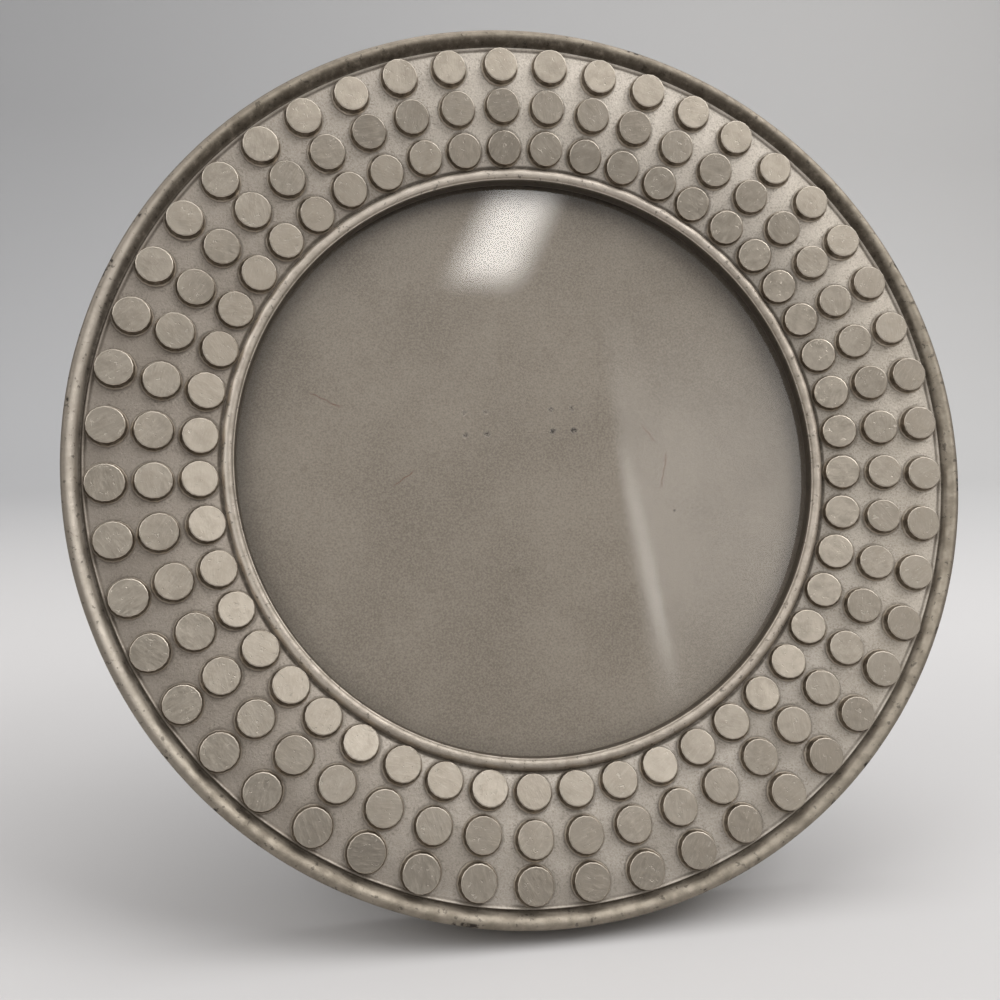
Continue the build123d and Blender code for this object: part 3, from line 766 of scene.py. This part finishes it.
def blackOxide():
    bench = Bench("blackOxide", Metallic=0.6)
    place = bench.object()
    cloud = bench.grain(place, 420, 4, 0.65)
    fine = bench.grain(place, 2200, 3, 0.6)
    tone = bench.tint(bench.fade(cloud, 0.4, 0.7), *oxide["black"])
    worn = bench.add("NewGeometry").outputs["Pointiness"]
    bench.paint(bench.tint(bench.fade(worn, 0.53, 0.6, 0, 0.5), tone, oxide["worn"]))
    bench.roughen(bench.fade(fine, 0.3, 0.7, 0.34, 0.5))
    bench.bump(fine, 0.00003, 0.5)
    return bench.material


hingeSkin = brushedSteel("nickelledSteel", (0.66, 0.65, 0.62, 1), (0.5, 0.49, 0.465, 1), 0.24, 0.35)
wireSkin = brushedSteel("galvanisedWire", (0.6, 0.6, 0.6, 1), (0.42, 0.42, 0.43, 1), 0.34, 0.2)
screwSkin = brushedSteel("plainSteel", (0.58, 0.56, 0.52, 1), (0.4, 0.385, 0.36, 1), 0.3, 0.5)
oxideSkin = blackOxide()

hardware = {  # CAD node, rounding of its edges in mm, material, slot and body
    "hingePlate": ("hinge_plate", 0.16, hingeSkin, "hinge_steel", "frame"),
    "hingePin": ("hinge_pin", 0.2, hingeSkin, "hinge_steel", "frame"),
    "hingeLeaf": ("hinge_leaf", 0.16, hingeSkin, "hinge_steel", "easel_leg"),
    "legStapleLeft": ("leg_staple_left", 0.18, wireSkin, "staple_wire", "easel_leg"),
    "legStapleRight": ("leg_staple_right", 0.18, wireSkin, "staple_wire", "easel_leg"),
}
for corner in corners:
    staple, button = "hingeStaple" + cornerName(corner), "turnButton" + cornerName(corner)
    hardware[staple] = ("hinge_staple_" + corner, 0.18, wireSkin, "staple_wire", "frame")
    hardware[button] = ("turn_button_" + corner, 0.22, oxideSkin, "button_steel", "turn_button_" + corner)
for name, (node, width, skin, slot, body) in hardware.items():
    finishPiece(name, softened(node, width, 2), Matrix.Identity(4), body, skin, node)
print("hardware")

screw = {
    "outline": [
        (1.1, 6.4), (1.1, -1.32), (2.68, -1.32), (2.78, -1.42), (2.78, -1.62), (2.66, -1.98), (2.36, -2.3),
        (1.86, -2.52), (1.1, -2.66), (0.3, -2.7),
    ],
    "steps": 40,
    "slot": {"half": 0.42, "depth": 0.75, "above": -1.7},
    "turns": (20, 75, -35, 50),
    "sharp": 35,
}
slot = screw["slot"]
for index, corner in enumerate(corners):
    bm = bmesh.new()
    revolve(bm, screw["outline"], screw["steps"], closed=False)
    for side in (-1, 1):
        sliced(bm, (side * slot["half"], 0, 0), (1, 0, 0))
    slotFaces = []
    for face in bm.faces:
        centre = face.calc_center_median()
        if abs(centre.x) < slot["half"] * 0.95 and centre.z < slot["above"]:
            slotFaces.append(face)
    sunken = bmesh.ops.extrude_face_region(bm, geom=slotFaces)["geom"]
    bmesh.ops.delete(bm, geom=slotFaces, context="FACES")
    for vert in only(sunken, bmesh.types.BMVert):
        vert.co.z = screw["outline"][-1][1] + slot["depth"]
    shaded(bm, screw["sharp"])
    place = facePlace @ turned(math.pi / 4 + quarter * index) @ Matrix.Translation((boss["circle"] * mm, 0, 0))
    place = place @ turned(math.radians(screw["turns"][index]))
    name = "screw" + cornerName(corner)
    finishPiece(name, bm, place, "frame", screwSkin, "button_screw_" + corner)
print("screws")

# Table, backdrop and light

stage = {
    "width": 3.2, "front": -4.5, "bend": 0.62, "radius": 0.4, "height": 1.7, "steps": 24,
    "near": (colour(196, 194, 193), colour(207, 205, 204)),
    "middle": colour(184, 184, 185),
    "far": colour(168, 168, 169),
    "right": colour(206, 205, 204),
}


def paleCard():
    bench = Bench("paleCard", Roughness=0.75, Specular_IOR_Level=0.2)
    x, y, z = bench.parts(bench.object())
    depth = bench.sum("ADD", y, z)
    # painted light: darker further back and brighter to the right
    tone = bench.tint(bench.fade(depth, -0.15, 0.2), *stage["near"])
    tone = bench.tint(bench.fade(depth, 0.15, 0.75), tone, stage["middle"])
    tone = bench.tint(bench.fade(depth, 0.8, 1.7), tone, stage["far"])
    side = bench.times(bench.fade(x, -0.6, 0.9), bench.fade(depth, 0.1, 0.6))
    bench.paint(bench.tint(side, tone, stage["right"]))
    return bench.material


bm = bmesh.new()
nearEdge = [bm.verts.new((side * stage["width"], stage["front"], 0)) for side in (-1, 1)]
table = bmesh.ops.extrude_edge_only(bm, edges=[bm.edges.new(nearEdge)])["geom"]
moved = only(table, bmesh.types.BMVert)
bmesh.ops.translate(bm, vec=(0, stage["bend"] - stage["front"], 0), verts=moved)
farEdge = [edge for edge in only(table, bmesh.types.BMEdge) if all(vert in moved for vert in edge.verts)]
bend = bmesh.ops.spin(
    bm, geom=moved + farEdge, cent=(0, stage["bend"], stage["radius"]), axis=(1, 0, 0), angle=quarter,
    steps=stage["steps"],
)["geom_last"]
wall = bmesh.ops.extrude_edge_only(bm, edges=only(bend, bmesh.types.BMEdge))["geom"]
bmesh.ops.translate(bm, vec=(0, 0, stage["height"]), verts=only(wall, bmesh.types.BMVert))
for face in bm.faces:
    face.smooth = True
placed("sweep", bm, paleCard())

room = {  # its brightness from straight down, 0, to straight up, 1
    "low": (0.35, (0.22, 0.215, 0.21, 1)),
    "middle": (0.7, (0.42, 0.415, 0.41, 1)),
    "high": (0.95, (0.8, 0.8, 0.81, 1)),
}

world = bpy.data.worlds.new("room")
world.use_nodes = True
scene.world = world
wiring = world.node_tree
heading = wiring.nodes.new("ShaderNodeTexCoord")
parts = wiring.nodes.new("ShaderNodeSeparateXYZ")
half = wiring.nodes.new("ShaderNodeMath")  # from -1 to 1 into 0 to 1
half.operation = "MULTIPLY_ADD"
half.inputs[1].default_value = half.inputs[2].default_value = 0.5
ramp = wiring.nodes.new("ShaderNodeValToRGB")
wiring.links.new(heading.outputs["Generated"], parts.inputs[0])
wiring.links.new(parts.outputs[2], half.inputs[0])
wiring.links.new(half.outputs[0], ramp.inputs[0])
wiring.links.new(ramp.outputs[0], wiring.nodes["Background"].inputs[0])
wiring.nodes["Background"].inputs[1].default_value = 1.0
low, high = ramp.color_ramp.elements
low.position, low.color = room["low"]
high.position, high.color = room["high"]
ramp.color_ramp.elements.new(room["middle"][0]).color = room["middle"][1]

lamps = {
    "key": {"place": (0.8, -0.4, 1.05), "size": (0.8, 0.6), "power": 8.0, "aim": (0, 0, 0.09)},
    "fill": {"place": (-0.9, -0.4, 0.8), "size": (0.7, 0.7), "power": 3.3, "aim": (0, 0, 0.09)},
    "top": {"place": (0.1, 0.1, 1.15), "size": (0.9, 0.7), "power": 4.5, "aim": (0, 0, 0)},
}
for name, lamp in lamps.items():
    light = bpy.data.objects.new(name, bpy.data.lights.new(name, "AREA"))
    light.data.shape = "RECTANGLE"
    light.data.size, light.data.size_y = lamp["size"]
    light.data.energy = lamp["power"]
    light.visible_camera = False
    light.location = lamp["place"]
    light.rotation_euler = (Vector(lamp["aim"]) - Vector(lamp["place"])).to_track_quat("-Z", "Y").to_euler()
    scene.collection.objects.link(light)

# Bright panels that only show as reflections, aimed by where the photograph shows them in the glass
panels = {
    "window": {"corners": ((422, 296), (528, 304), (584, 176), (484, 172)), "glow": 13.4, "soft": (0.42, 0.34)},
    "streak": {"corners": ((668, 712), (692, 712), (628, 420), (604, 420)), "glow": 3.2, "soft": (0.5, 0.35)},
    "wall": {"corners": ((660, 780), (900, 720), (860, 250), (585, 270)), "glow": 1.9, "soft": (0.07, 0.42)},
}
reflected = {
    "away": 1.1,  # of the panels from the glass, in metres
    "paneTop": 5.8,  # height of the glass's front on the casting's plane, in mm
    "tone": (1.0, 0.965, 0.93, 1),
    "cuts": 6,
}


def inGlass(across, down):  # a point seen at that pixel of the photograph, mirrored in the pane
    half = camera["picture"] / 2
    ahead = camera["picture"] * camera["lens"] / camera["sensor"]
    ray = (eye.matrix_world.to_3x3() @ Vector((across - half, half - down, -ahead))).normalized()
    start = eye.matrix_world.translation
    onPane = facePlace @ Vector((0, 0, reflected["paneTop"] * mm))
    hit = start + ray * ((onPane - start).dot(faceNormal) / ray.dot(faceNormal))
    return hit + (ray - 2 * ray.dot(faceNormal) * faceNormal) * reflected["away"]


def panelGlow(name, glow, soft):  # bright in its middle, and fading to nothing at its edges
    bench = Bench(name)
    fades = []
    for side, width in zip(("across", "up"), soft):
        place = bench.value(side)
        fades.append(bench.times(bench.fade(place, 0.0, width), bench.fade(place, 1.0, 1 - width)))
    light = bench.add("Emission", {"Color": reflected["tone"], "Strength": bench.times(*fades, glow)})
    clear = bench.add("BsdfTransparent")
    both = bench.add("AddShader", {0: light.outputs[0], 1: clear.outputs[0]})
    bench.feed(bench.output.inputs["Surface"], both.outputs[0])
    return bench.material


for name, panel in panels.items():
    bm = bmesh.new()
    across = bm.verts.layers.float.new("across")
    up = bm.verts.layers.float.new("up")
    ring = [bm.verts.new(inGlass(*corner)) for corner in panel["corners"]]
    for vert, (along, height) in zip(ring, ((0, 0), (1, 0), (1, 1), (0, 1))):
        vert[across], vert[up] = along, height
    bmesh.ops.contextual_create(bm, geom=ring)
    bmesh.ops.subdivide_edges(bm, edges=bm.edges[:], cuts=reflected["cuts"], use_grid_fill=True)
    sheet = placed(name, bm, panelGlow(name, panel["glow"], panel["soft"]))
    sheet.visible_camera = sheet.visible_diffuse = sheet.visible_transmission = sheet.visible_shadow = False
print("stage")
